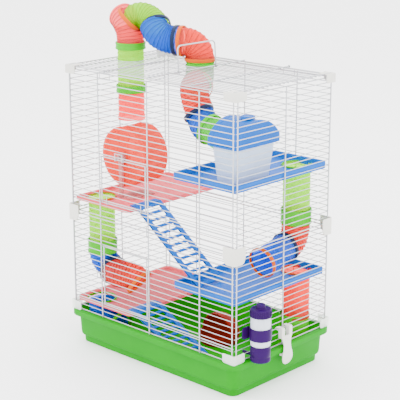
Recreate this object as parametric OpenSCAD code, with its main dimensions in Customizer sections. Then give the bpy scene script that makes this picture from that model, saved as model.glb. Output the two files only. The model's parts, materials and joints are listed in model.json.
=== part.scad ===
// Two-storey hamster cage: wire body on a plastic tray, with shelves, wheel, house and tube runs.
// Millimetres, +Z up, +X along the long front face, origin under the middle of the tray.

/* [Tray] */
// Outside length of the tray rim along X
tray_len = 470; // [460:1:500]
// Outside width of the tray rim along Y
tray_wid = 300; // [290:1:320]
// Height of the tray rim
tray_top = 73.5; // [70:0.5:74]
// Thickness of the tray wall
tray_wall = 2.6; // [2:0.1:4]

/* [Wire] */
// Half length from the middle to the side wire plane
cage_x = 223; // [222:0.5:224]
// Half width from the middle to the front wire plane
cage_y = 138; // [137:0.5:139]
// Radius of the thin wires
thin_r = 0.8; // [0.7:0.05:1]
// Radius of the thick frame wires
thick_r = 1.2; // [1.1:0.05:1.5]
// Spacing of the thin wires
pitch = 11.75; // [11:0.05:13]

/* [Doors] */
// Bottom of the upper front opening
upper_low = 321; // [316:0.5:322]
// Top of the upper front opening
upper_high = 420; // [418:0.5:424]
// Bottom of the lower front opening
lower_low = 103; // [100:0.5:104]
// Top of the lower front opening
lower_high = 231; // [228:0.5:233]
// Width of both front openings
door_wid = 137; // [125:1:137]

/* [Tubes] */
// Outside radius of the straight tubes
tube_r = 27.4; // [26:0.1:28]
// Outside radius of the bellows elbows and tube collars
elbow_r = 28.7; // [28:0.1:28.7]
// Wall thickness of the tubes
tube_wall = 1.5; // [1:0.1:2]
// Inside radius of the connector rings
ring_in = 29; // [28.9:0.05:29.2]
// Outside radius of the connector rings
ring_out = 31.3; // [30.5:0.1:31.5]

/* [Wheel] */
// Radius of the exercise wheel
wheel_r = 62.5; // [55:0.5:63]
// Width of the exercise wheel
wheel_wid = 68; // [50:1:70]

/* [Hidden] */
$fn = 48;
fit = 0.08;
out_y = cage_y + thin_r + thick_r + 0.52;
out_x = cage_x + thin_r + thick_r + 0.52;
low_z = 75.02;
low_top = 284.5;
high_z = 291;
high_top = 582.5;
roof_z = 587.1;
brace_z = roof_z + thin_r + thick_r + 0.52;
floor_z = 3;
shelf_rim = 6;
shelf_skin = 1.6;
pink_x = [-221, -62];
blue_x = [60, 221];
shelf_y = [-135, 135];
up_pink_z = [310, 318];
low_pink_z = [92, 100];
up_blue_z = [403, 417];
low_blue_z = [186, 199];
up_pink_hole = [-186, -92];
low_pink_hole = [-182, -101];
up_blue_hole = [171, 103];
low_blue_hole = [175, 103];
left_axis = [-185, -4];
drop_axis = [-36, 45];
wheel_c = [-153, -27, 397];
house_x = [122, 200];
house_y = [-108, 20];
eave_z = 474;
peak_z = 522;
bottle_c = [248, -91];
dish_c = [7, 58];
latch_row = low_z + 3 * pitch;
loop_y = 143.8;
upper_latch_z = upper_high - 2 * thick_r - fit - 2 * thin_r - 0.3;
lower_door_z = lower_low + 2 * thick_r + 1.1;

// Points and headings of the tube runs
a0 = [-185, -4, 620];
a1 = [-186, -4, 669];
a1_d = [0.58, 0.42, 0.7];
a2 = [-126.6, 11.1, 659.3];
a2_d = [0.70, -0.34, -0.63];
a3 = [-76.4, 20.7, 634.8];
a3_d = [0.90, 0.41, 0];
a4 = [-66.3, 25.3, 634.3];
a5 = [-36, 45, 599];
b1 = [-8, 8, 553];
b1_d = [0.54, -0.84, 0];
b2 = [25.6, -23.8, 507.9];
b2_d = [0.611, -0.026, -0.791];
b3 = [71, -40, 485];
b3_d = [0.95, -0.09, -0.28];
b4 = [121.2, -44.8, 470.2];
c0 = [171, 103, 292];
c1 = [171, 72, 244];
c1_d = [0, -0.975, -0.22];
c2 = [171, 2, 228.5];
d0 = [-186, -92, 199];
d1 = [-152.3, -92.5, 160.4];
d1_d = [0.917, -0.328, -0.228];
d2 = [-93, -78, 146];
d2_d = [0.75, 0.2, -0.63];
e0 = [-182, -101, 92];
e1 = [-128, -101, 47];
e1_d = [0.97, 0, -0.24];
down = [0, 0, -1];
up = [0, 0, 1];

green = [0.17, 0.77, 0.18];
silver = [0.82, 0.82, 0.84];
grey = [0.81, 0.81, 0.78];
blue = [0, 0.57, 0.94];
pink = [1, 0.59, 0.65];
coral = [0.98, 0.51, 0.51];
lime = [0.75, 0.98, 0.31];
purple = [0.3, 0.04, 0.5];
clear = [0.85, 0.9, 0.96];
ruby = [0.45, 0.1, 0.12];

module bar_x(x0, x1, y, z, r) {
  translate([x0, y, z]) rotate([0, 90, 0]) cylinder(r = r, h = x1 - x0);
}

module bar_y(y0, y1, x, z, r) {
  translate([x, y0, z]) rotate([-90, 0, 0]) cylinder(r = r, h = y1 - y0);
}

module bar_z(z0, z1, x, y, r) {
  translate([x, y, z0]) cylinder(r = r, h = z1 - z0);
}

// Wire eye about Z, bent to a middle radius
module eye(mid, r) {
  rotate_extrude() translate([mid, 0]) circle(r = r);
}

module round_rect(len, wid, r) {
  square([len - 2 * r, wid], center = true);
  square([len, wid - 2 * r], center = true);
  for (sx = [-1, 1], sy = [-1, 1]) {
    translate([sx * (len / 2 - r), sy * (wid / 2 - r)]) circle(r = r);
  }
}

module slab(len, wid, r, z0, z1) {
  translate([0, 0, z0]) linear_extrude(height = z1 - z0) round_rect(len, wid, r);
}

module box(lo, hi) {
  translate(lo) cube(hi - lo);
}

module tray() {
  lip_z = tray_top - 12;
  color(green) difference() {
    union() {
      slab(tray_len - 40, tray_wid - 40, 20, 0, 14);
      slab(tray_len - 25, tray_wid - 25, 24, 14, tray_top - 1);
      difference() {
        slab(tray_len, tray_wid, 28, lip_z, tray_top);
        slab(tray_len - 5, tray_wid - 5, 25.5, lip_z - 1, tray_top - tray_wall);
      }
    }
    slab(tray_len - 40 - 2 * tray_wall, tray_wid - 40 - 2 * tray_wall, 18, floor_z, 20);
    slab(tray_len - 25 - 2 * tray_wall, tray_wid - 25 - 2 * tray_wall, 22, 17, tray_top + 1);
  }
}

// Thin wires along X from z0 to z1, split round an opening
module rows_x(z0, z1, open, side) {
  count = floor((z1 - z0 - 5) / pitch);
  for (k = [1 : count]) {
    z = z0 + k * pitch;
    near = len(open) > 0 ? min(abs(z - open[0]), abs(z - open[1])) : pitch;
    inside = len(open) > 0 && z > open[0] && z < open[1];
    if (near > 4 && !inside) {
      bar_x(-221, 221, side * (cage_y + 0.5), z, thin_r);
    }
    if (near > 4 && inside) {
      bar_x(-221, -door_wid + 0.5, side * (cage_y + 0.5), z, thin_r);
      bar_x(-0.5, 221, side * (cage_y + 0.5), z, thin_r);
    }
  }
}

module long_panel(z0, z1, open, side) {
  color(silver) {
    bar_x(-221, 221, side * cage_y, z0, thick_r);
    bar_x(-221, 221, side * cage_y, z1, thick_r);
    rows_x(z0, z1, open, side);
    for (z = open) {
      bar_x(-221, 221, side * cage_y, z, thick_r);
    }
    for (x = [-220.5, -137, 0, 137, 220.5]) {
      bar_z(z0 - thick_r, z1 + thick_r, x, side * out_y, thick_r);
    }
  }
}

module end_panel(z0, z1, side) {
  count = floor((z1 - z0 - 5) / pitch);
  color(silver) {
    bar_y(-136.2, 136.2, side * cage_x, z0, thick_r);
    bar_y(-136.2, 136.2, side * cage_x, z1, thick_r);
    for (k = [1 : count]) {
      bar_y(-136.2, 136.2, side * (cage_x + 0.5), z0 + k * pitch, thin_r);
    }
    for (y = [-134.5, 0, 134.5]) {
      bar_z(z0 - thick_r, z1 + thick_r, side * out_x, y, thick_r);
    }
  }
}

// True where a thin top wire would run through a tube hole
function cuts(y, hole) = abs(y - hole[1]) < elbow_r + 3.4;
function half(y, hole) = sqrt(pow(elbow_r + 4, 2) - pow(y - hole[1], 2));

module top_row(y) {
  at_left = cuts(y, left_axis);
  at_drop = cuts(y, drop_axis);
  a = at_left ? left_axis[0] - half(y, left_axis) : 0;
  b = at_left ? left_axis[0] + half(y, left_axis) : 0;
  c = at_drop ? drop_axis[0] - half(y, drop_axis) : 0;
  d = at_drop ? drop_axis[0] + half(y, drop_axis) : 0;
  first = at_left ? b : -221;
  z = roof_z + 0.5;
  if (at_left) {
    bar_x(-221, a, y, z, thin_r);
  }
  if (at_drop) {
    bar_x(first, c, y, z, thin_r);
    bar_x(d, 221, y, z, thin_r);
  }
  if (!at_drop) {
    bar_x(first, 221, y, z, thin_r);
  }
}

module top_panel() {
  color(silver) {
    for (side = [-1, 1]) {
      bar_x(-221, 221, side * cage_y, roof_z, thick_r);
      bar_y(-139.5, 139.5, side * 220.5, brace_z, thick_r);
    }
    bar_y(-146, 139.5, -113, brace_z, thick_r);
    bar_y(-139.5, 139.5, 0, brace_z, thick_r);
    bar_y(-139.5, 146, 113, brace_z, thick_r);
    for (k = [-11 : 11]) {
      top_row(k * pitch);
    }
    for (hole = [left_axis, drop_axis]) {
      translate([hole[0], hole[1], roof_z + 0.5]) eye(elbow_r + 1.6, 0.8);
    }
  }
}

// Bail in the XZ plane of its pivots, leaning a little towards -X
module carry_handle() {
  leg_y = 4.5 * pitch;
  wire = 1.4;
  bend = 9;
  height = 50;
  start = thick_r + 0.15 + 2 * wire;
  color(silver) translate([0, 0, brace_z]) rotate([0, -4, 0]) {
    for (s = [-1, 1]) {
      translate([0, s * leg_y, 0]) rotate([90, 0, 0]) eye(thick_r + 0.1 + wire, wire);
      bar_z(start, height - bend, 0, s * leg_y, wire);
      translate([0, s * (leg_y - bend), height - bend]) rotate([90, 0, s * 90]) {
        rotate_extrude(angle = 90) translate([bend, 0]) circle(r = wire);
      }
    }
    bar_y(-leg_y + bend, leg_y - bend, 0, height, wire);
  }
}

module upper_front_door() {
  low = upper_low + 2 * thick_r + 0.64;
  high = upper_latch_z;
  count = floor((high - low - 5) / pitch);
  color(silver) {
    for (x = [-118, -20]) {
      translate([x, -cage_y, upper_low]) rotate([0, 90, 0]) eye(thick_r + fit + thin_r, thin_r);
    }
    for (z = [low + thick_r, high]) {
      bar_x(-134.9, -2.1, -cage_y, z, thick_r);
    }
    for (k = [1 : count]) {
      bar_x(-134.9, -2.1, -cage_y - 0.5, low + thick_r + k * pitch, thin_r);
    }
    for (x = [-131, -6]) {
      bar_z(low, high + thick_r, x, -out_y, thick_r);
    }
    for (x = [-118, -20]) {
      bar_z(low, low + pitch, x, -out_y, thin_r);
    }
  }
}

module lower_front_door() {
  low = lower_door_z;
  high = lower_high - 2 * thick_r - 0.5;
  count = floor((high - low - 5) / pitch);
  color(silver) {
    for (k = [2, 8]) {
      translate([0, -out_y, low + (k + 0.5) * pitch]) eye(thick_r + fit + thin_r, thin_r);
    }
    for (z = [low, high]) {
      bar_x(-134.9, -3.8, -cage_y, z, thick_r);
    }
    for (k = [1 : count]) {
      bar_x(-134.9, -3.8, -cage_y - 0.5, low + k * pitch, thin_r);
    }
    for (x = [-129, -5.15]) {
      bar_z(low - thick_r, high + thick_r, x, -out_y, thick_r);
    }
  }
}

module upper_door_latch() {
  axis_z = upper_latch_z;
  wire_y = -cage_y - thick_r - fit - 2 * 0.8 - 0.82;
  color(silver) {
    for (x = [-90, -70]) {
      translate([x, -cage_y, axis_z]) rotate([0, 90, 0]) eye(thick_r + fit + 0.8, 0.8);
      bar_z(axis_z - 2, axis_z + 12, x, wire_y, 0.8);
    }
    bar_x(-90.8, -69.2, wire_y, axis_z + 12.82, 0.8);
  }
}

module lower_door_latch() {
  wire_y = -out_y - thick_r - fit - 2 * 0.8 - 0.82;
  color(silver) {
    for (k = [4.5, 5.5]) {
      translate([-129, -out_y, lower_door_z + k * pitch]) eye(thick_r + fit + 0.8, 0.8);
      bar_x(-145, -127, wire_y, lower_door_z + k * pitch, 0.8);
    }
    bar_z(lower_door_z + 4.5 * pitch - 0.8, lower_door_z + 5.5 * pitch + 0.8, -145.82, wire_y, 0.8);
  }
}

module top_loop(x, y) {
  bar_top = brace_z - thick_r - fit - 2 * 0.8 - 0.82;
  color(silver) {
    translate([x, y, brace_z]) rotate([90, 0, 0]) eye(thick_r + fit + 0.8, 0.8);
    bar_x(x - 15, x + 15, y, bar_top, 0.8);
    for (s = [-1, 1]) {
      bar_z(bar_top - 12, bar_top - 0.82, x + s * 14.2, y, 0.8);
    }
    bar_x(x - 15, x + 15, y, bar_top - 12.82, 0.8);
  }
}

module corner_clips(z0, z1) {
  for (sx = [-1, 1], sy = [-1, 1]) {
    intersection() {
      translate([0, 0, z0]) linear_extrude(height = z1 - z0) difference() {
        round_rect(460.4, 290.4, 5);
        round_rect(456.4, 286.4, 3);
      }
      box([sx * 217 - 17, sy * 132 - 17, z0 - 1], [sx * 217 + 17, sy * 132 + 17, z1 + 1]);
    }
  }
}

module seam_clips() {
  color(silver) {
    for (x = [-2.5, 2.5]) {
      bar_z(277, 297, x, -out_y - thick_r - 1, 0.85);
    }
    for (z = [276.1, 297.9]) {
      bar_x(-3.4, 3.4, -out_y - thick_r - 1, z, 0.85);
    }
  }
}

module side_latch() {
  color(grey) {
    for (s = [-1, 1]) {
      translate([0, s * 11 + 4.5, 0]) rotate([90, 0, 0]) linear_extrude(height = 9) difference() {
        union() {
          translate([cage_x + 0.5, latch_row]) circle(r = 3.2);
          translate([cage_x + 0.5, latch_row - 3]) square([14.6, 6]);
          translate([228.6, 92]) square([9.5, latch_row - 89]);
        }
        translate([cage_x + 0.5, latch_row]) circle(r = thin_r + 0.06);
      }
    }
    intersection() {
      translate([0, 20, 0]) rotate([90, 0, 0]) linear_extrude(height = 40) {
        polygon([[235.6, 96], [238.1, 96], [240.6, 70], [241.4, 56], [240.4, 44], [238, 36],
          [236, 36], [237.6, 46], [237.8, 57], [231.8, 57], [231.8, 60.2], [235.6, 60.2]]);
      }
      translate([225, 0, 0]) rotate([90, 0, 90]) linear_extrude(height = 25) {
        translate([0, 52]) circle(r = 15.5);
        polygon([[-15.5, 96], [-10, 76], [-15, 56], [15, 56], [10, 76], [15.5, 96]]);
      }
    }
  }
}

module shelf(x, z, hole) {
  mid = [(x[0] + x[1]) / 2, (shelf_y[0] + shelf_y[1]) / 2, 0];
  len = x[1] - x[0];
  wid = shelf_y[1] - shelf_y[0];
  rim = 2 * shelf_rim;
  skin = 2 * shelf_skin;
  difference() {
    translate(mid) difference() {
      slab(len, wid, 9, z[0], z[1]);
      slab(len - rim, wid - rim, 5, z[0] + 2, z[1] + 1);
      difference() {
        slab(len - skin, wid - skin, 7, z[0] - 1, z[1] - shelf_skin);
        slab(len - rim + skin, wid - rim + skin, 6.5, z[0] - 2, z[1] + 2);
      }
    }
    translate([hole[0], hole[1], z[0] - 1]) cylinder(r = elbow_r + 0.1, h = 40);
  }
}

module ladder(top, low, y) {
  rail = 5;
  steps = 12;
  drop = top[1] - low[1];
  run = low[0] - top[0];
  tilt = atan2(drop, run);
  size = norm([run, drop]);
  wid = y[1] - y[0];
  step = (size - 12) / steps;
  color(blue) {
    difference() {
      union() {
        translate([top[0], y[0], top[1]]) rotate([0, tilt, 0]) box([0, 0, -rail / 2], [size, wid, rail / 2]);
        box([top[0] - 16, y[0], top[1] - 1.3], [top[0] + 1, y[1], top[1] + 1.7]);
        bar_y(y[0], y[1], top[0] - 16, top[1] + 0.4, 1.7);
      }
      translate([top[0], y[0], top[1]]) rotate([0, tilt, 0]) {
        for (k = [0 : steps - 1]) {
          box([8 + k * step, 10, -rail], [8 + (k + 0.58) * step, wid - 10, rail]);
        }
      }
    }
  }
}

module wheel_drum() {
  front = wheel_c[1] - wheel_wid / 2;
  color(coral) translate([wheel_c[0], front, wheel_c[2]]) rotate([-90, 0, 0]) difference() {
    union() {
      difference() {
        cylinder(r = wheel_r, h = wheel_wid);
        translate([0, 0, 2.4]) cylinder(r = wheel_r - 2, h = wheel_wid);
      }
      cylinder(r = 8, h = 14);
      for (k = [0 : 11]) {
        rotate([0, 0, k * 30]) translate([wheel_r - 5, -1, 1]) cube([4, 2, wheel_wid - 2]);
      }
    }
    translate([0, 0, -1]) cylinder(r = 3.06, h = 20);
  }
}

module wheel_axle() {
  front = wheel_c[1] - wheel_wid / 2;
  color(silver) {
    bar_y(front - 8, front + 15, wheel_c[0], wheel_c[2], 3);
    bar_y(front + 15, front + 18, wheel_c[0], wheel_c[2], 5);
  }
}

module wheel_stand() {
  front = wheel_c[1] - wheel_wid / 2;
  color(pink) difference() {
    union() {
      box([-158, front - 8, 312.1], [-148, front - 3, 398]);
      bar_y(front - 8, front - 0.6, wheel_c[0], wheel_c[2], 11);
      box([-158, front - 8, 312.1], [-120, 0, 315.5]);
    }
    bar_y(front - 9, front + 1, wheel_c[0], wheel_c[2], 3.04);
  }
}

module house_body() {
  color(clear) difference() {
    hull() {
      box([137, -97, 405.1], [185, 7, 406]);
      box([128, -101, eave_z - 1], [194, 11, eave_z - 0.1]);
    }
    hull() {
      box([138.8, -95.2, 407], [183.2, 5.2, 408]);
      box([129.8, -99.2, eave_z], [192.2, 9.2, eave_z + 1]);
    }
    translate([120, b4[1], b4[2] + 4]) rotate([0, 90, 0]) cylinder(r = 23, h = 24);
  }
}

// Barrel roof along X, from its eave line up
module arch(x0, x1, shrink) {
  wide = (house_y[1] - house_y[0]) / 2;
  rise = peak_z - eave_z - 5;
  r = (wide * wide + rise * rise) / (2 * rise);
  mid_y = (house_y[0] + house_y[1]) / 2;
  translate([x0, 0, 0]) intersection() {
    translate([0, mid_y, peak_z - r]) rotate([0, 90, 0]) cylinder(r = r - shrink, h = x1 - x0);
    box([-1, house_y[0], eave_z + 5 - shrink * 3], [x1 - x0 + 1, house_y[1], peak_z + 1]);
  }
}

module house_roof() {
  color(blue) difference() {
    intersection() {
      union() {
        arch(house_x[0], house_x[1], 0);
        box([house_x[0], house_y[0], eave_z], [house_x[1], house_y[1], eave_z + 5]);
      }
      translate([(house_x[0] + house_x[1]) / 2, (house_y[0] + house_y[1]) / 2, 0]) {
        slab(house_x[1] - house_x[0], house_y[1] - house_y[0], 10, eave_z, peak_z + 1);
      }
    }
    arch(house_x[0] + 4, house_x[1] - 4, 2);
    box([house_x[0] + 4, house_y[0] + 4, eave_z - 1], [house_x[1] - 4, house_y[1] - 4, eave_z + 5]);
    translate([120, b4[1], b4[2] + 4]) rotate([0, 90, 0]) cylinder(r = 23, h = 8);
  }
}

module house_cap() {
  color(blue) translate([170, -44, peak_z + 0.05]) cylinder(r = 14, h = 5);
}

module bottle_body() {
  color(clear) translate([bottle_c[0], bottle_c[1], 106.2]) difference() {
    cylinder(r = 19.5, h = 66);
    translate([0, 0, 2]) cylinder(r = 18, h = 62);
  }
}

module bottle_cap() {
  color(purple) translate([bottle_c[0], bottle_c[1], 164]) difference() {
    union() {
      cylinder(r = 21, h = 16);
      translate([0, 0, 15]) cylinder(r = 9, h = 9);
    }
    translate([0, 0, -1]) cylinder(r = 19.6, h = 10);
  }
}

module bottle_base() {
  color(purple) {
    translate([bottle_c[0], bottle_c[1], 74.2]) difference() {
      cylinder(r = 19.5, h = 32);
      translate([0, 0, 3]) cylinder(r = 17, h = 40);
      translate([0, 0, 7]) rotate([0, -90, 0]) cylinder(r = 3, h = 30);
    }
    difference() {
      bar_x(204, 229.5, bottle_c[1], 81.2, 3.6);
      bar_x(203, 230, bottle_c[1], 81.2, 2.2);
    }
  }
}

module bottle_holder() {
  color(purple) difference() {
    union() {
      bar_z(118, 142, bottle_c[0], bottle_c[1], 21.4);
      box([227.7, -120, 118], [230, -62, 142]);
    }
    bar_z(117, 143, bottle_c[0], bottle_c[1], 19.7);
  }
}

module food_dish() {
  color(ruby) translate([dish_c[0], dish_c[1], floor_z + 0.1]) difference() {
    union() {
      cylinder(r = 42, h = 20);
      translate([0, 0, 18]) cylinder(r = 44, h = 3);
    }
    translate([0, 0, 3]) cylinder(r = 39.6, h = 30);
  }
}

module dish_hood() {
  color(ruby) translate([dish_c[0], dish_c[1], floor_z + 21.2]) difference() {
    sphere(r = 42);
    sphere(r = 40);
    box([-50, -50, -50], [50, 50, 0]);
    box([-50, -50, -1], [50, -8, 50]);
  }
}

// Straight tube with a thicker collar at each end
module straight_tube(size) {
  difference() {
    union() {
      cylinder(r = tube_r, h = size);
      cylinder(r = elbow_r, h = 5);
      translate([0, 0, size - 5]) cylinder(r = elbow_r, h = 5);
    }
    translate([0, 0, -1]) cylinder(r = tube_r - tube_wall, h = size + 2);
  }
}

module aim(p, d) {
  translate(p) rotate([0, acos(d[2] / norm(d)), atan2(d[1], d[0])]) children();
}

module tube_between(p, q) {
  aim(p, q - p) straight_tube(norm(q - p));
}

module ring(p, d, size) {
  aim(p, d) translate([0, 0, -size / 2]) difference() {
    cylinder(r = ring_out, h = size);
    translate([0, 0, -1]) cylinder(r = ring_in, h = size + 2);
  }
}

// Flange ring standing round a shelf hole, trimmed to the shelf's recess
module flange(p, z, x) {
  clear = shelf_rim + 0.3;
  intersection() {
    translate([p[0], p[1], z]) difference() {
      cylinder(r = ring_out, h = 3.6);
      translate([0, 0, -1]) cylinder(r = elbow_r + 0.2, h = 6);
    }
    box([x[0] + clear, shelf_y[0] + clear, z - 1], [x[1] - clear, shelf_y[1] - clear, z + 5]);
  }
}

function unit(v) = v / norm(v);
function curve(p, m, q, n, t) = (2 * t * t * t - 3 * t * t + 1) * p + (t * t * t - 2 * t * t + t) * m
  + (3 * t * t - 2 * t * t * t) * q + (t * t * t - t * t) * n;
function slope(p, m, q, n, t) = (6 * t * t - 6 * t) * p + (3 * t * t - 4 * t + 1) * m
  + (6 * t - 6 * t * t) * q + (3 * t * t - 2 * t) * n;
function hoop(c, t, w, r, sides) = let(u = unit(w - (w * t) * t), v = cross(t, u))
  [for (k = [0 : sides - 1]) c + r * (cos(k * 360 / sides) * u + sin(k * 360 / sides) * v)];

// Curved tube from p heading along a to q heading along b, with straight ends
module elbow(p, a, q, b, lead = 4) {
  sides = 20;
  steps = 8;
  da = unit(a);
  db = unit(b);
  p1 = p + (lead + 0.3) * da;
  q1 = q - 4.3 * db;
  pull = norm(q1 - p1) * 1.2;
  w = cross(da, db);
  mids = [for (k = [0 : steps]) curve(p1, pull * da, q1, pull * db, k / steps)];
  dirs = [for (k = [0 : steps]) unit(slope(p1, pull * da, q1, pull * db, k / steps))];
  line = concat([p + 0.3 * da], mids, [q - 0.3 * db]);
  head = concat([da], dirs, [db]);
  last = len(line) - 1;
  outer = [for (k = [0 : last]) each hoop(line[k], head[k], w, elbow_r, sides)];
  inner = [for (k = [0 : last]) each hoop(line[k], head[k], w, elbow_r - tube_wall, sides)];
  base = sides * (last + 1);
  skin = [for (k = [0 : last - 1], j = [0 : sides - 1]) let(
    i = (j + 1) % sides,
    s = k * sides,
    t = s + sides)
    each [[s + j, t + i, s + i], [s + j, t + j, t + i],
      [base + s + j, base + s + i, base + t + i], [base + s + j, base + t + i, base + t + j]]];
  caps = [for (j = [0 : sides - 1]) let(
    i = (j + 1) % sides,
    t = last * sides)
    each [[j, i, base + i], [j, base + i, base + j],
      [t + j, base + t + i, t + i], [t + j, base + t + j, base + t + i]]];
  polyhedron(points = concat(outer, inner), faces = concat(skin, caps));
}

module left_top_tube() {
  color(pink) tube_between([left_axis[0], left_axis[1], 464], [left_axis[0], left_axis[1], 528]);
  color(lime) tube_between([left_axis[0], left_axis[1], 529], [left_axis[0], left_axis[1], 619.8]);
}

module right_upper_tube() {
  p = up_blue_hole;
  color(lime) tube_between([p[0], p[1], 292.2], [p[0], p[1], 407]);
}

module front_left_tube() {
  p = up_pink_hole;
  color(lime) tube_between([p[0], p[1], 199.2], [p[0], p[1], 314]);
}

module coral_tubes() {
  p = low_blue_hole;
  color(coral) tube_between([p[0], p[1], 90], [p[0], p[1], 190]);
  color(blue) elbow(e0, down, e1, e1_d);
}

module house_tube() {
  color(green) intersection() {
    tube_between(b3, b3 + (b4 - b3) * 1.25);
    box([20, -100, 400], [121.3, 20, 540]);
  }
}

module right_blue_tube() {
  color(blue) tube_between(c1 - 0.3 * [0, 1, 0], c2);
}

module connectors_green() {
  color(green) {
    ring([left_axis[0], left_axis[1], 528.5], up, 15);
    ring([left_axis[0], left_axis[1], 617], up, 14);
    ring(b3, b3_d, 8);
    ring([up_blue_hole[0], up_blue_hole[1], 303], up, 30);
    ring([up_pink_hole[0], up_pink_hole[1], 209], up, 28);
    ring(e1, e1_d, 8);
    flange(up_blue_hole, 405.1, blue_x);
    flange(low_pink_hole, 94.1, pink_x);
    difference() {
      ring([low_blue_hole[0], low_blue_hole[1], 58], up, 81);
      translate([low_blue_hole[0], low_blue_hole[1], 30]) rotate([0, -90, 0]) cylinder(r = 20, h = 60);
    }
  }
}

module connectors_orange() {
  color([0.98, 0.43, 0.08]) {
    // Open on the inside of the tight bend, where the pleats bunch up
    difference() {
      ring(a1, a1_d, 8);
      aim(a1, a1_d) translate([16, -40, -10]) cube([40, 80, 20]);
    }
    ring(a4, a3_d, 8);
    ring(b1, b1_d, 8);
    ring(c2, c2 - c1, 8);
    ring(d2, d2_d, 8);
    ring(a5, down, 7);
    flange(up_pink_hole, 312.1, pink_x);
    flange(low_blue_hole, 188.1, blue_x);
  }
}

module connectors_navy() {
  color([0.16, 0.24, 0.43]) {
    ring(a2, a2_d, 8);
    ring(a3, a3_d, 8);
    ring(b2, b2_d, 8);
    ring(c1, c1_d, 8);
    ring(d1, d1_d, 8);
  }
}

tray();
long_panel(low_z, low_top, [lower_low, lower_high], -1);  // lower_front_panel
long_panel(low_z, low_top, [], 1);  // lower_back_panel
end_panel(low_z, low_top, -1);  // lower_left_panel
end_panel(low_z, low_top, 1);  // lower_right_panel
long_panel(high_z, high_top, [upper_low, upper_high], -1);  // upper_front_panel
long_panel(high_z, high_top, [], 1);  // upper_back_panel
end_panel(high_z, high_top, -1);  // upper_left_panel
end_panel(high_z, high_top, 1);  // upper_right_panel
top_panel();
upper_front_door();
lower_front_door();
upper_door_latch();
lower_door_latch();
top_loop(-113, -loop_y);  // top_loop_front
top_loop(113, loop_y);  // top_loop_back
color(grey) corner_clips(573, 590);  // top_corner_clips
color(grey) corner_clips(268, 302);  // middle_corner_clips
color(clear) corner_clips(73.6, 92);  // rim_corner_clips
seam_clips();
mirror([1, 0, 0]) side_latch();  // left_side_latch
side_latch();  // right_side_latch
carry_handle();
color(pink) shelf(pink_x, up_pink_z, up_pink_hole);  // upper_pink_shelf
color(pink) shelf(pink_x, low_pink_z, low_pink_hole);  // lower_pink_shelf
color(blue) shelf(blue_x, up_blue_z, up_blue_hole);  // upper_blue_shelf
color(blue) shelf(blue_x, low_blue_z, low_blue_hole);  // lower_blue_shelf
ladder([-58, 319.7], [112, 190.8], [-117, -48]);  // upper_ladder
ladder([-58, 101.7], [113, 5.8], [-126.8, -52]);  // lower_ladder
wheel_drum();
wheel_axle();
wheel_stand();
house_body();
house_roof();
house_cap();
bottle_body();
bottle_cap();
bottle_base();
bottle_holder();
food_dish();
dish_hood();
left_top_tube();
right_upper_tube();
front_left_tube();
coral_tubes();
house_tube();
right_blue_tube();
color(pink) elbow(a0, up, a1, a1_d);  // top_pink_elbow
color(lime) elbow(a1, a1_d, a2, a2_d);  // top_lime_elbow
color(blue) elbow(a2, a2_d, a3, a3_d);  // top_blue_elbow
color(coral) elbow(a4, a3_d, a5, down);  // top_coral_elbow
color(green) elbow(a5, down, b1, b1_d, 14);  // mid_green_elbow
color(coral) elbow(b1, b1_d, b2, b2_d);  // mid_coral_elbow
color(blue) elbow(b2, b2_d, b3, b3_d);  // mid_blue_elbow
color(coral) elbow(c0, down, c1, c1_d);  // right_coral_elbow
color(blue) elbow(d0, down, d1, d1_d);  // left_blue_elbow
color(pink) elbow(d1, d1_d, d2, d2_d);  // left_pink_elbow
connectors_green();
connectors_orange();
connectors_navy();
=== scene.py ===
"""Looks of the hamster cage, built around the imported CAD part. Lengths below are millimetres."""

import json
import math

import bmesh
import bpy
import numpy as np
from mathutils import Matrix, Vector
from mathutils.geometry import tessellate_polygon

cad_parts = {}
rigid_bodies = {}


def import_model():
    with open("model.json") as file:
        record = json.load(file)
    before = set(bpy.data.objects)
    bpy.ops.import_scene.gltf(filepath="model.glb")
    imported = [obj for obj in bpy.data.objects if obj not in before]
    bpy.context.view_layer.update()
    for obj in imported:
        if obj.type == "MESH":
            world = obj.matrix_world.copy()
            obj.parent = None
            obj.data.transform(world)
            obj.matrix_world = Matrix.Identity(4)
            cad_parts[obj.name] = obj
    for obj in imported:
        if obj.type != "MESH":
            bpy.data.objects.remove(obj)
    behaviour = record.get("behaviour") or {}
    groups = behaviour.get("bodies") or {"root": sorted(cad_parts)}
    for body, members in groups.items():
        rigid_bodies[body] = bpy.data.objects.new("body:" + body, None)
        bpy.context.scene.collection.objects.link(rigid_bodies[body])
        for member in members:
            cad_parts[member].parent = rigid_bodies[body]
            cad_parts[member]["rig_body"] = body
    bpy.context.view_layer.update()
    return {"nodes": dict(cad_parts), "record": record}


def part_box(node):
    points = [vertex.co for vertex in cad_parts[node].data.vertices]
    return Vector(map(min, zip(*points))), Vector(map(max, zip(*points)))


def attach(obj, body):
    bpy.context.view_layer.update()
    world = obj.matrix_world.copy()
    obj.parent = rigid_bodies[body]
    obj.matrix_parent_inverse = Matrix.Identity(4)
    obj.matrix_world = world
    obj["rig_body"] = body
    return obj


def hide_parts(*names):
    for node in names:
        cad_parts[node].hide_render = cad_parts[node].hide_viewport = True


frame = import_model()
NODES = frame["nodes"]


def box_mm(node):
    lo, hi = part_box(node)
    return np.array(lo) * 1000, np.array(hi) * 1000


# ---------------------------------------------------------------- materials
def shader(name):
    mat = bpy.data.materials.new(name)
    mat.use_nodes = True
    tree = mat.node_tree
    tree.nodes.clear()
    return mat, tree.nodes, tree.links


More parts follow.
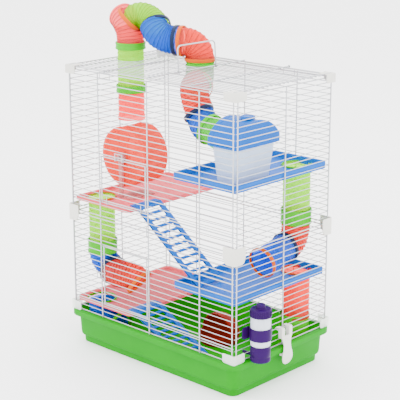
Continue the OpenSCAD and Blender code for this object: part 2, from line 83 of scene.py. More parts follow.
def detail(nodes, links, color, scale, vary, bump):
    """Principled shader with a faint change of tone and a fine surface texture."""
    color = [c * 0.6 for c in color]
    coord = nodes.new("ShaderNodeTexCoord")
    noise = nodes.new("ShaderNodeTexNoise")
    noise.inputs["Scale"].default_value = scale
    noise.inputs["Detail"].default_value = 4.0
    links.new(coord.outputs["Object"], noise.inputs["Vector"])
    ramp = nodes.new("ShaderNodeValToRGB")
    dark = [max(0.0, c * (1 - vary)) for c in color]
    light = [min(1.0, c * (1 + vary)) for c in color]
    ramp.color_ramp.elements[0].position = 0.35
    ramp.color_ramp.elements[1].position = 0.65
    ramp.color_ramp.elements[0].color = (*dark, 1)
    ramp.color_ramp.elements[1].color = (*light, 1)
    links.new(noise.outputs["Fac"], ramp.inputs["Fac"])
    fine = nodes.new("ShaderNodeTexNoise")
    fine.inputs["Scale"].default_value = scale * 9
    links.new(coord.outputs["Object"], fine.inputs["Vector"])
    relief = nodes.new("ShaderNodeBump")
    relief.inputs["Strength"].default_value = bump
    relief.inputs["Distance"].default_value = 0.0006
    links.new(fine.outputs["Fac"], relief.inputs["Height"])
    skin = nodes.new("ShaderNodeBsdfPrincipled")
    links.new(ramp.outputs["Color"], skin.inputs["Base Color"])
    links.new(relief.outputs["Normal"], skin.inputs["Normal"])
    return skin, ramp


def plastic(name, color, rough=0.3, see=0.0, glow=0.0, lit=0.0):
    """Plastic: see passes light straight through, glow scatters it through, lit stands for light from behind."""
    mat, nodes, links = shader(name)
    skin, ramp = detail(nodes, links, color, 18.0, 0.05, 0.12)
    skin.inputs["Roughness"].default_value = rough
    skin.inputs["Specular IOR Level"].default_value = 0.1
    skin.inputs["IOR"].default_value = 1.45
    if lit:
        links.new(ramp.outputs["Color"], skin.inputs["Emission Color"])
        skin.inputs["Emission Strength"].default_value = lit
    last = skin.outputs["BSDF"]
    if glow:
        soft = nodes.new("ShaderNodeBsdfTranslucent")
        links.new(ramp.outputs["Color"], soft.inputs["Color"])
        mix = nodes.new("ShaderNodeMixShader")
        mix.inputs["Fac"].default_value = glow
        links.new(last, mix.inputs[1])
        links.new(soft.outputs["BSDF"], mix.inputs[2])
        last = mix.outputs["Shader"]
    if see:
        clear = nodes.new("ShaderNodeBsdfTransparent")
        clear.inputs["Color"].default_value = (*[0.35 + 0.65 * c for c in color], 1)
        mix = nodes.new("ShaderNodeMixShader")
        mix.inputs["Fac"].default_value = see
        links.new(last, mix.inputs[1])
        links.new(clear.outputs["BSDF"], mix.inputs[2])
        last = mix.outputs["Shader"]
    out = nodes.new("ShaderNodeOutputMaterial")
    links.new(last, out.inputs["Surface"])
    return mat


def metal(name, color, rough):
    mat, nodes, links = shader(name)
    skin, _ = detail(nodes, links, color, 60.0, 0.06, 0.1)
    skin.inputs["Metallic"].default_value = 0.55
    skin.inputs["Roughness"].default_value = rough
    out = nodes.new("ShaderNodeOutputMaterial")
    links.new(skin.outputs["BSDF"], out.inputs["Surface"])
    return mat


WIRE = metal("white_wire", (0.66, 0.67, 0.7), 0.4)
STEEL = metal("steel", (0.7, 0.7, 0.72), 0.3)
TRAY = plastic("tray_green", (0.0, 0.34, 0.0), 0.5, 0, 0.1, 0.12)
# Brighter, glowing copy of the tray green for the inner faces only: a painted glow standing in for light inside
# the tray.
TRAY_INSIDE_PAINTED_GLOW = plastic("tray_green_inside_painted_glow", (0.0, 0.5, 0.0), 0.45, 0, 0.2, 0.5)
CLIP = plastic("clip_grey", (0.95, 0.94, 0.86), 0.45)
HAZE = plastic("clip_clear", (1.2, 1.25, 1.2), 0.3, 0.5)
PINK = plastic("shelf_pink", (1.35, 0.27, 0.34), 0.4, 0.15, 0.5, 0.15)
PINK_EDGE = plastic("shelf_pink_rim", (1.35, 0.22, 0.28), 0.4, 0.1, 0.4, 0.1)
BLUE = plastic("shelf_blue", (0.0, 0.24, 1.0), 0.4, 0.1, 0.3)
BLUE_EDGE = plastic("shelf_blue_rim", (0.0, 0.2, 0.85), 0.4, 0.05, 0.25)
LADDER = plastic("ladder_blue", (0.0, 0.18, 0.8), 0.4, 0.0, 0.25)
WHEEL = plastic("wheel_coral", (1.25, 0.1, 0.045), 0.4, 0.22, 0.4)
STAND = plastic("stand_pink", (1.0, 0.36, 0.36), 0.4, 0.2, 0.35)
HOUSE = plastic("house_clear", (1.0, 1.15, 1.35), 0.3, 0.25, 0.3)
ROOF = plastic("roof_blue", (0.0, 0.16, 0.72), 0.25, 0.05, 0.2)
BOTTLE = plastic("bottle_clear", (1.1, 1.15, 1.25), 0.1, 0.45)
PURPLE = plastic("bottle_purple", (0.025, 0.0, 0.075), 0.35)
RUBY = plastic("dish_ruby", (0.4, 0.02, 0.008), 0.3, 0.3, 0.0, 0.3)
LIME = plastic("tube_lime", (0.66, 1.15, 0.0), 0.3, 0.46, 0.5)
ROSE = plastic("tube_pink", (1.3, 0.17, 0.18), 0.3, 0.5, 0.5)
CORAL = plastic("tube_coral", (1.3, 0.13, 0.08), 0.3, 0.46, 0.5)
SKY = plastic("tube_blue", (0.02, 0.28, 1.1), 0.3, 0.46, 0.5)
MINT = plastic("tube_green", (0.2, 1.1, 0.03), 0.3, 0.46, 0.5)
RIB_LIME = plastic("rib_lime", (0.2, 0.5, 0.0), 0.4, 0.1, 0.3)
RIB_ROSE = plastic("rib_pink", (0.6, 0.05, 0.05), 0.4, 0.1, 0.3)
RIB_CORAL = plastic("rib_coral", (0.55, 0.04, 0.02), 0.4, 0.1, 0.3)
RIB_SKY = plastic("rib_blue", (0.005, 0.06, 0.42), 0.4, 0.1, 0.3)
RIB_MINT = plastic("rib_green", (0.03, 0.4, 0.02), 0.4, 0.1, 0.3)
RIBS = {LIME: RIB_LIME, ROSE: RIB_ROSE, CORAL: RIB_CORAL, SKY: RIB_SKY, MINT: RIB_MINT}
RING_GREEN = plastic("ring_green", (0.08, 0.75, 0.0), 0.3, 0, 0.3)
RING_ORANGE = plastic("ring_orange", (1.0, 0.16, 0.0), 0.3, 0, 0.3)
RING_NAVY = plastic("ring_navy", (0.01, 0.02, 0.06), 0.3)


# ---------------------------------------------------------------- mesh building
def loft(loops, wrap=False, cap=True):
    """Quads between loops of equal length; wrap joins the last to the first."""
    n = len(loops[0])
    verts = [tuple(p) for loop in loops for p in loop]
    faces = []
    rows = len(loops)
    for k in range(rows if wrap else rows - 1):
        s, t = k * n, ((k + 1) % rows) * n
        for j in range(n):
            i = (j + 1) % n
            faces.append((s + j, s + i, t + i, t + j))
    if not wrap and cap:
        faces.append(tuple(range(n))[::-1])
        faces.append(tuple(range((rows - 1) * n, rows * n)))
    return verts, faces


def corner_loop(size_x, size_y, r, z, centre=(0.0, 0.0), seg=7):
    """Rounded rectangle seen from above."""
    pts = []
    r = min(r, size_x / 2 - 0.05, size_y / 2 - 0.05)
    for q, (sx, sy) in enumerate(((1, 1), (-1, 1), (-1, -1), (1, -1))):
        cx = centre[0] + sx * (size_x / 2 - r)
        cy = centre[1] + sy * (size_y / 2 - r)
        for k in range(seg + 1):
            a = math.radians(90 * q + 90 * k / seg)
            pts.append((cx + r * math.cos(a), cy + r * math.sin(a), z))
    return pts


def aim(point, heading):
    """Matrix that takes +Z at the origin to heading at point."""
    d = Vector(heading).normalized()
    turn = Vector((0, 0, 1)).rotation_difference(d).to_matrix().to_4x4()
    return Matrix.Translation(Vector(point)) @ turn


def lathe(profile, at=Matrix.Identity(4), closed=True, seg=56):
    """Profile of (radius, height) turned about the local Z axis."""
    loops = []
    for r, z in profile:
        loop = []
        for k in range(seg):
            a = 2 * math.pi * k / seg
            loop.append(at @ Vector((r * math.cos(a), r * math.sin(a), z)))
        loops.append(loop)
    return loft(loops, wrap=closed)


def slab_between(p, q, wide, thick, face, bevel=0.8):
    """Bar from p to q with a rounded rectangular section: wide across, thick along face."""
    p, q = Vector(p), Vector(q)
    along = (q - p).normalized()
    up = Vector(face)
    up = (up - along * up.dot(along)).normalized()
    side = up.cross(along)
    loops = []
    size = (q - p).length
    for s, inset in ((0, bevel), (bevel, 0), (size - bevel, 0), (size, bevel)):
        ring = corner_loop(wide - 2 * inset, thick - 2 * inset, bevel, 0, seg=3)
        loops.append([p + along * s + side * a + up * b for a, b, _ in ring])
    return loft(loops)


class Piece:
    """One visual object, standing for one CAD node."""

    def __init__(self, name, node, slot):
        self.name, self.node, self.slot = name, node, slot
        self.v, self.f, self.m, self.mats = [], [], [], []

    def add(self, shape, mat):
        verts, faces = shape
        if mat not in self.mats:
            self.mats.append(mat)
        base = len(self.v)
        self.v += [tuple(c / 1000 for c in p) for p in verts]
        self.f += [tuple(i + base for i in f) for f in faces]
        self.m += [self.mats.index(mat)] * len(faces)
        return self

    def build(self, bevel=0.0, cutters=(), angle=38):
        mesh = bpy.data.meshes.new(self.name)
        mesh.from_pydata(self.v, [], self.f)
        for mat in self.mats:
            mesh.materials.append(mat)
        mesh.polygons.foreach_set("material_index", self.m)
        work = bmesh.new()
        work.from_mesh(mesh)
        bmesh.ops.recalc_face_normals(work, faces=work.faces)
        work.to_mesh(mesh)
        work.free()
        obj = bpy.data.objects.new(self.name, mesh)
        bpy.context.scene.collection.objects.link(obj)
        for k, cutter in enumerate(cutters):
            cut = obj.modifiers.new(f"cut_{k}", "BOOLEAN")
            cut.object = cutter
            cut.operation = "DIFFERENCE"
            cut.solver = "EXACT"
        if bevel:
            round_off = obj.modifiers.new("bevel", "BEVEL")
            round_off.width = bevel / 1000
            round_off.segments = 3
            round_off.limit_method = "ANGLE"
            round_off.angle_limit = math.radians(35)
        if cutters or bevel:
            bpy.context.view_layer.update()
            graph = bpy.context.evaluated_depsgraph_get()
            done = bpy.data.meshes.new_from_object(obj.evaluated_get(graph))
            obj.modifiers.clear()
            obj.data = done
            done.name = self.name
        obj.data.shade_smooth()
        obj.data.set_sharp_from_angle(angle=math.radians(angle))
        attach(obj, NODES[self.node]["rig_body"])
        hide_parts(self.node)
        return obj


def cutter(name, shape):
    mesh = bpy.data.meshes.new(name)
    mesh.from_pydata([tuple(c / 1000 for c in p) for p in shape[0]], [], shape[1])
    work = bmesh.new()
    work.from_mesh(mesh)
    bmesh.ops.recalc_face_normals(work, faces=work.faces)
    work.to_mesh(mesh)
    work.free()
    obj = bpy.data.objects.new(name, mesh)
    bpy.context.scene.collection.objects.link(obj)
    return obj


def drop(*objects):
    for obj in objects:
        bpy.data.objects.remove(obj)


# ---------------------------------------------------------------- wires, carried over from the CAD
for node in NODES:
    slot = next(s["material_slot"] for s in frame["record"]["subparts"] if s["node"] == node)
    if slot in ("wire", "axle_steel"):
        mesh = NODES[node].data
        mesh.materials.clear()
        mesh.materials.append(WIRE if slot == "wire" else STEEL)
        mesh.shade_smooth()
        mesh.set_sharp_from_angle(angle=math.radians(40))


# ---------------------------------------------------------------- tray
def build_tray():
    lo, hi = box_mm("tray")
    lx, ly = hi[0] - lo[0], hi[1] - lo[1]
    top = hi[2]
    lip = top - 12
    steps = [
        (22, 0), (20.6, 0.4), (20, 1.6), (19.6, 12), (18.6, 14), (15.2, 16.2), (13.9, 18.6), (13.2, 24),
        (10.8, top - 5), (10.4, top - 3.4), (9.6, top - 2.7), (3.4, top - 2.8), (2.6, top - 3.6),
        (2.3, lip + 0.6), (1.9, lip), (0.5, lip), (0.1, lip + 0.5), (0, top - 2), (0.5, top - 0.7),
        (1.7, top), (14.2, top), (15.1, top - 0.5), (15.4, top - 1.6), (16.3, 20), (18.2, 17.4),
        (22, 15.2), (22.8, 13.8), (23, 5), (23.8, 3.3), (25.5, 3),
    ]
    loops = [corner_loop(lx - 2 * i, ly - 2 * i, max(28 - i * 0.6, 8), z, seg=10) for i, z in steps]
    piece = Piece("tray_shell", "tray", "tray_green").add(loft(loops), TRAY)
    # Faces from the inner rim loop onward get the brighter glowing copy: painted light on the inside of the tray.
    piece.mats.append(TRAY_INSIDE_PAINTED_GLOW)
    inside = 22 * len(loops[0])
    piece.m = [1 if min(face) >= inside else 0 for face in piece.f]
    piece.build(angle=50)


# ---------------------------------------------------------------- corner clips and latches
def corner_strip(sx, sy, z0, z1, half_x, half_y, leg_x, leg_y, thick, low_round):
    """Plate bent round one corner of the cage; low_round is the radius of its lower end corners."""
    r = 5.0
    path = [(half_x - leg_x + t, half_y, 0.0, 1.0) for t in np.linspace(0, leg_x - r, 9)]
    for k in range(1, 7):
        a = math.radians(90 - 15 * k)
        path.append((half_x - r + r * math.cos(a), half_y - r + r * math.sin(a), math.cos(a), math.sin(a)))
    path += [(half_x, half_y - r - t, 1.0, 0.0) for t in np.linspace(0, leg_y - r, 9)[1:]]
    run = [0.0]
    for a, b in zip(path, path[1:]):
        run.append(run[-1] + math.dist(a[:2], b[:2]))
    loops = []
    for (x, y, nx, ny), s in zip(path, run):
        edge = min(s, run[-1] - s)
        rise = low_round - math.sqrt(max(0.0,
            low_round**2 - (low_round - edge) ** 2)) if edge < low_round else 0.0
        end = 0.6 if edge < 0.1 else 0.0
        section = corner_loop(thick - end, z1 - z0 - rise - end, 0.7, 0, seg=3)
        mid = (z1 + z0 + rise) / 2
        loops.append([(sx * (x + nx * (u - thick / 2)), sy * (y + ny * (u - thick / 2)), mid + w) for u, w,
            _ in section])
    return loft(loops)


def build_clips():
    for name, node, slot, mat, low_round in (
        ("top_clips", "top_corner_clips", "clip_grey", CLIP, 3.0),
        ("middle_clips", "middle_corner_clips", "clip_grey", CLIP, 12.0),
        ("rim_clips", "rim_corner_clips", "clip_clear", HAZE, 1.5),
    ):
        lo, hi = box_mm(node)
        piece = Piece(name, node, slot)
        for sx in (-1, 1):
            for sy in (-1, 1):
                piece.add(corner_strip(sx, sy, lo[2], hi[2], hi[0], hi[1], 30, 30, 2.0, low_round), mat)
                if node == "top_corner_clips":
                    lid = corner_loop(24, 24, 5, 0, seg=4)
                    cx, cy = sx * (hi[0] - 14.2), sy * (hi[1] - 14.2)
                    piece.add(loft([[(cx + a, cy + b, z) for a, b, _ in lid] for z in (hi[2] - 1.9,
                        hi[2] - 0.1)]), mat)
        piece.build()


def prism(outline, y0, y1):
    """Outline of (x, z) points extruded along Y."""
    return loft([[(x, y, z) for x, z in outline] for y in (y0, y1)])


def build_side_latch(name, node, sign):
    _, hi = box_mm(node)
    zt = hi[2]
    row = zt - 3.2
    arm = [(226.2, row + 3), (226.0, row - 3), (228.8, row - 3.6), (228.8, 92), (238, 92),
        (238.1, row + 1.5), (236, row + 3)]
    tab = [(235.6, 60.2), (231.9, 60.2), (231.9, 57), (236.2, 57)]
    piece = Piece(name, node, "clip_grey")
    for shape, y0, y1 in ((tab, -15, 15), (arm, 6.6, 15.4), (arm, -15.4, -6.6)):
        verts, faces = prism(shape, y0, y1)
        piece.add(([(sign * x, y, z) for x, y, z in verts], faces), CLIP)
    profile = ((96, 236.9, 15.2), (92, 237.1, 14.2), (84, 237.9, 11.6), (76, 238.8, 10.2), (68, 239.3, 11.4),
        (61, 239.5, 14),
               (56, 239.6, 15.2), (50, 239.5, 15.4), (44, 238.9, 13.4), (40, 238.2, 10), (37.6, 237.6, 5.8),
               (36.9, 237.3, 3))
    loops = []
    for z, x, wide in profile:
        ring = corner_loop(2 * wide, 2.4, 1.1, 0, seg=3)
        loops.append([(sign * (x + b), a, z) for a, b, _ in ring])
    piece.add(loft(loops), CLIP)
    for y in (11.0, -11.0):
        hook = []
        for k in range(15):
            a = math.radians(40 + 20 * k)
            hook.append((sign * (223.5 + 2.15 * math.cos(a)), y, row + 2.15 * math.sin(a)))
        loops = []
        for k, p in enumerate(hook):
            a = math.radians(40 + 20 * k)
            out = Vector((sign * math.cos(a), 0, math.sin(a)))
            loops.append([Vector(p) + out * u + Vector((0, w, 0)) for u, w,
                _ in corner_loop(1.9, 8.8, 0.5, 0, seg=2)])
        piece.add(loft(loops), CLIP)
    piece.build(bevel=0.6)


# ---------------------------------------------------------------- shelves and ladders
def plate_with_hole(loop, hole, z):
    """Flat face inside loop with a round hole."""
    outer = [Vector((x, y, 0)) for x, y, _ in loop]
    inner = [Vector((x, y, 0)) for x, y in hole]
    tris = tessellate_polygon([outer, inner])
    return [(p.x, p.y, z) for p in outer + inner], [tuple(t) for t in tris]


def build_shelf(name, node, slot, main, edge, hole_xy, hole_r):
    lo, hi = box_mm(node)
    cx, cy = (lo[0] + hi[0]) / 2, (lo[1] + hi[1]) / 2
    lx, ly = hi[0] - lo[0], hi[1] - lo[1]
    z0, z1 = lo[2], hi[2]
    floor = z0 + 2
    piece = Piece(name, node, slot)

    def ring(i, z, r):
        return corner_loop(lx - 2 * i, ly - 2 * i, r, z, (cx, cy), seg=6)

    rim = [
        ring(1.7, z0 + 0.2, 7), ring(1.0, z0, 8), ring(0.1, z0 + 0.5, 9), ring(0, z1 - 1.6, 9),
        ring(0.6, z1 - 0.4, 8.6),
        ring(1.6, z1, 8), ring(5.0, z1, 6.5), ring(6.0, z1 - 0.5, 6), ring(6.5, z1 - 1.5, 5.6),
        ring(7.4, floor + 0.8, 5),
        ring(8.4, floor, 4.6),
    ]
    under = [ring(8.0, z0, 4.8), ring(5.4, z0 + 0.5, 6), ring(4.8, z1 - 2.6, 6), ring(2.4, z1 - 2.2, 7)]
    piece.add(loft(rim, cap=False), edge)
    piece.add(loft(under + [rim[0]], cap=False), edge)
    hole = [(hole_xy[0] + hole_r * math.cos(a), hole_xy[1] + hole_r * math.sin(a)) for a in np.linspace(0,
        2 * math.pi, 49)[:-1]]
    inside = [(min(max(x, lo[0] + 8.6), hi[0] - 8.6), min(max(y, lo[1] + 8.6), hi[1] - 8.6)) for x, y in hole]
    piece.add(plate_with_hole(ring(8.4, floor, 4.6), inside, floor), main)
    piece.add(plate_with_hole(ring(8.0, z0, 4.8), inside, z0), main)
    wall = [[(x, y, z) for x, y in inside] for z in (floor, z0)]
    piece.add(loft(wall, cap=False), edge)
    piece.build(angle=45)


def build_ladder(name, node):
    lo, hi = box_mm(node)
    y0, y1 = lo[1], hi[1]
    top = Vector((lo[0] + 17.7, 0, hi[2] - 2.1))
    low = Vector((hi[0] - 1.6, 0, lo[2] + 2.2))
    along = (low - top).normalized()
    face = Vector((-along.z, 0, along.x))
    face = face if face.z > 0 else -face
    size = (low - top).length
    piece = Piece(name, node, "ladder_blue")
    for y in (y0 + 5.1, y1 - 5.1):
        p = Vector((top.x, y, top.z))
        piece.add(slab_between(p, p + along * size, 10.0, 4.6, face, 1.4), LADDER)
        for g in (-1, 1):
            edge = p + Vector((0, g * 4.1, 0))
            piece.add(slab_between(edge, edge + along * size, 1.8, 4.95, face, 0.5), LADDER)
    steps = 12
    pitch = (size - 12) / steps
    mid = (y0 + y1) / 2
    for k in range(steps + 1):
        c = Vector((top.x, mid, top.z)) + along * (5.2 + k * pitch)
        half = (y1 - y0) / 2 - 8
        wide = 5.6 if 0 < k < steps else 7
        piece.add(slab_between(c - Vector((0, half, 0)), c + Vector((0, half, 0)), wide, 4.0, face, 1.2),
            LADDER)
        for s in (-1, 1):
            for g in (-1, 1):
                if (k == 0 and g < 0) or (k == steps and g > 0):
                    continue
                knee = c + Vector((0, s * (half - 3.0), 0)) + along * g * 2.6
                tip = c + Vector((0, s * (half - 0.4), 0)) + along * g * 5.0
                piece.add(slab_between(knee, tip, 2.4, 3.6, face, 0.6), LADDER)
    hook = [(lo[0], top.z + 0.4), (lo[0] + 0.6, top.z + 1.6), (lo[0] + 2, top.z + 2.0),
        (top.x - 1, top.z + 2.0),
            (top.x + 1.6, top.z + 1.2), (top.x + 1.6, top.z - 1.2), (top.x - 1, top.z - 1.0),
            (lo[0] + 1.9, top.z - 1.1)]
    piece.add(prism(hook, y0 + 0.2, y1 - 0.2), LADDER)
    piece.build()


# ---------------------------------------------------------------- wheel
def build_wheel():
    lo, hi = box_mm("wheel_drum")
    cx, cz = (lo[0] + hi[0]) / 2, (lo[2] + hi[2]) / 2
    r, wide = (hi[0] - lo[0]) / 2, hi[1] - lo[1]
    at = Matrix.Translation(Vector((cx, lo[1], cz))) @ Matrix.Rotation(math.radians(-90), 4, "X")
    piece = Piece("wheel_drum_body", "wheel_drum", "wheel_coral")
    piece.add(lathe([
        (3.3, 0.2), (9, 0.2), (9.8, 0.8), (10.4, 2.0), (14, 2.2), (15, 1.0), (22, 1.0), (23, 0.3), (27, 0.3),
        (28, 1.0),
        (r - 9, 1.0), (r - 7, 0.2), (r - 2.5, 0.2), (r - 0.7, 0.8), (r, 2.6), (r, 5.2), (r - 1.0, 6.4),
        (r - 1.0, wide - 7),
        (r, wide - 5.8), (r, wide - 0.8), (r - 0.6, wide), (r - 2.6, wide), (r - 3.0, wide - 0.8),
        (r - 2.6, 4.6),
        (r - 4, 3.2), (15, 3.4), (8.2, 4.0), (7.6, 13.4), (7, 14), (3.6, 14), (3.3, 13.4),
    ], at, seg=96), WHEEL)
    for k in range(36):
        a = math.radians(10 * k + 5)
        out = Vector((math.cos(a), math.sin(a), 0))
        p = at @ (out * (r - 4.2) + Vector((0, 0, 4.5)))
        q = at @ (out * (r - 4.2) + Vector((0, 0, wide - 1.5)))
        piece.add(slab_between(p, q, 1.8, 3.4, at.to_3x3() @ out, 0.5), WHEEL)
    for k in range(8):
        a = math.radians(45 * k + 22.5)
        out = Vector((math.cos(a), math.sin(a), 0))
        p, q = at @ (out * 30 + Vector((0, 0, 0.9))), at @ (out * (r - 10) + Vector((0, 0, 0.9)))
        piece.add(slab_between(p, q, 3.0, 1.4, (0, 1, 0), 0.4), WHEEL)
    piece.build()

    lo, hi = box_mm("wheel_stand")
    piece = Piece("wheel_stand_body", "wheel_stand", "stand_pink")
    leg = [(-7.4, lo[2]), (7.4, lo[2]), (6.4, lo[2] + 14), (5.6, cz - 18)]
    leg += [(10.6 * math.cos(a), cz + 10.6 * math.sin(a)) for a in np.linspace(math.radians(-40),
        math.radians(220), 22)]
    leg += [(-5.6, cz - 18), (-6.4, lo[2] + 14)]
    leg = [(cx + min(max(x, -10.6), 10.6) if z > cz - 15 else cx + max(min(x, 5), -5), z) for x, z in leg]
    piece.add(prism(leg, lo[1], lo[1] + 4.6), STAND)
    boss = Matrix.Translation(Vector((cx, lo[1] + 0.2, cz))) @ Matrix.Rotation(math.radians(-90), 4, "X")
    piece.add(lathe([(3.2, 0.3), (8, 0.3), (9, 1.2), (9, 6.6), (8.4, 7.2), (3.2, 7.2)], boss), STAND)
    base = [(lo[0] + 0.2, lo[1] + 0.2), (hi[0], hi[1])]
    size_x, size_y = base[1][0] - base[0][0], base[1][1] - base[0][1]
    mid = ((base[0][0] + base[1][0]) / 2, (base[0][1] + base[1][1]) / 2)
    piece.add(loft([
        corner_loop(size_x - 2 * i, size_y - 2 * i, 5, lo[2] + z, mid) for i,
        z in ((0.6, 0), (0, 0.6), (0, 2.4), (1, 3.3))
    ]), STAND)
    piece.build(bevel=0.5)


# ---------------------------------------------------------------- house
def build_house():
    lo, hi = box_mm("house_body")
    base_x, base_y = (lo[0] + 9.2, hi[0] - 9.2), (lo[1] + 4.2, hi[1] - 4.2)
    cx0, cy0 = sum(base_x) / 2, sum(base_y) / 2
    cx1, cy1 = (lo[0] + hi[0]) / 2, (lo[1] + hi[1]) / 2
    roof_lo, roof_hi = box_mm("house_roof")

    def wall(t, inset, r):
        z = lo[2] + t * (hi[2] - lo[2])
        sx = (base_x[1] - base_x[0]) * (1 - t) + (hi[0] - lo[0]) * t - 2 * inset
        sy = (base_y[1] - base_y[0]) * (1 - t) + (hi[1] - lo[1]) * t - 2 * inset
        return corner_loop(sx, sy, r, z, (cx0 + (cx1 - cx0) * t, cy0 + (cy1 - cy0) * t), seg=8)

    port_y, port_z = -44.8, 474.2
    port = cutter("port_cutter", lathe([(0.01, 0), (23, 0), (23, 26), (0.01, 26)],
        aim((119, port_y, port_z), (1, 0, 0)), closed=False))
    body = Piece("house_walls", "house_body", "house_clear")
    body.add(loft([
        wall(0.0, 1.2, 9), wall(0.012, 0.3, 10), wall(0.03, 0, 10), wall(0.9, 0, 10), wall(0.91, -0.0, 10),
        wall(0.985, 0, 10), wall(1.0, 0.4, 9.6), wall(1.0, 1.5, 8.5), wall(0.98, 1.9, 8.2),
        wall(0.05, 2.0, 8), wall(0.03, 2.8, 7.4),
    ]), HOUSE)
    body.build(cutters=(port,), angle=30)

    y0, y1 = roof_lo[1], roof_hi[1]
    eave, peak = roof_lo[2], roof_hi[2]
    mid_y, half = (y0 + y1) / 2, (y1 - y0) / 2
    rise = peak - eave - 5
    big = (half * half + rise * rise) / (2 * rise)
    top_z = peak - big

    def arch(drop_by, side_in, low):
        """Barrel outline in YZ, from the front eave over the top to the back eave."""
        r = big - drop_by
        pts = [(mid_y - half + side_in, low), (mid_y - half + side_in, eave + 5 - drop_by * 0.4)]
        span = math.asin(min(1, (half - side_in) / r))
        for a in np.linspace(-span, span, 33):
            pts.append((mid_y + r * math.sin(a), top_z + r * math.cos(a)))
        pts += [(mid_y + half - side_in, eave + 5 - drop_by * 0.4), (mid_y + half - side_in, low)]
        return pts

    x0, x1 = roof_lo[0], roof_hi[0]
    corner = 10.0
    ends = []
    for step in (0, 0.6, 1.6, 3.2, 5.4, 7.6, corner):
        side = corner - math.sqrt(corner**2 - (corner - step) ** 2)
        ends.append((step, max(0.0, 1.3 - 0.8 * step), side))
    ends.append((corner + 1, 1.0, 0.6))
    loops = []
    for step, by, side in ends:
        loops.append([(x0 + step, y, z) for y, z in arch(by, side, eave)])
    for step, by, side in reversed(ends):
        loops.append([(x1 - step, y, z) for y, z in arch(by, side, eave)])
    inner = []
    for x in (x0 + 4.2, x1 - 4.2):
        inner.append([(x, y, z) for y, z in arch(3.2, 4.2, eave - 1)])
    hollow = cutter("roof_hollow", loft(inner))
    roof = Piece("house_roof_shell", "house_roof", "roof_blue")
    roof.add(loft(loops), ROOF)
    roof.build(cutters=(hollow, port), angle=35)
    drop(hollow, port)

    lo, hi = box_mm("house_cap")
    c = ((lo[0] + hi[0]) / 2, (lo[1] + hi[1]) / 2)
    r, top = (hi[0] - lo[0]) / 2, hi[2]
    at = Matrix.Translation(Vector((c[0], c[1], lo[2])))
    h = top - lo[2]
    Piece("house_cap_knob", "house_cap", "roof_blue").add(lathe([
        (0.01, 0), (r, 0), (r, h - 1.4), (r - 0.6, h - 0.4), (r - 1.8, h), (r - 4, h), (r - 4.6, h - 0.8),
        (0.01, h - 0.8),
    ], at, closed=False), ROOF).build()


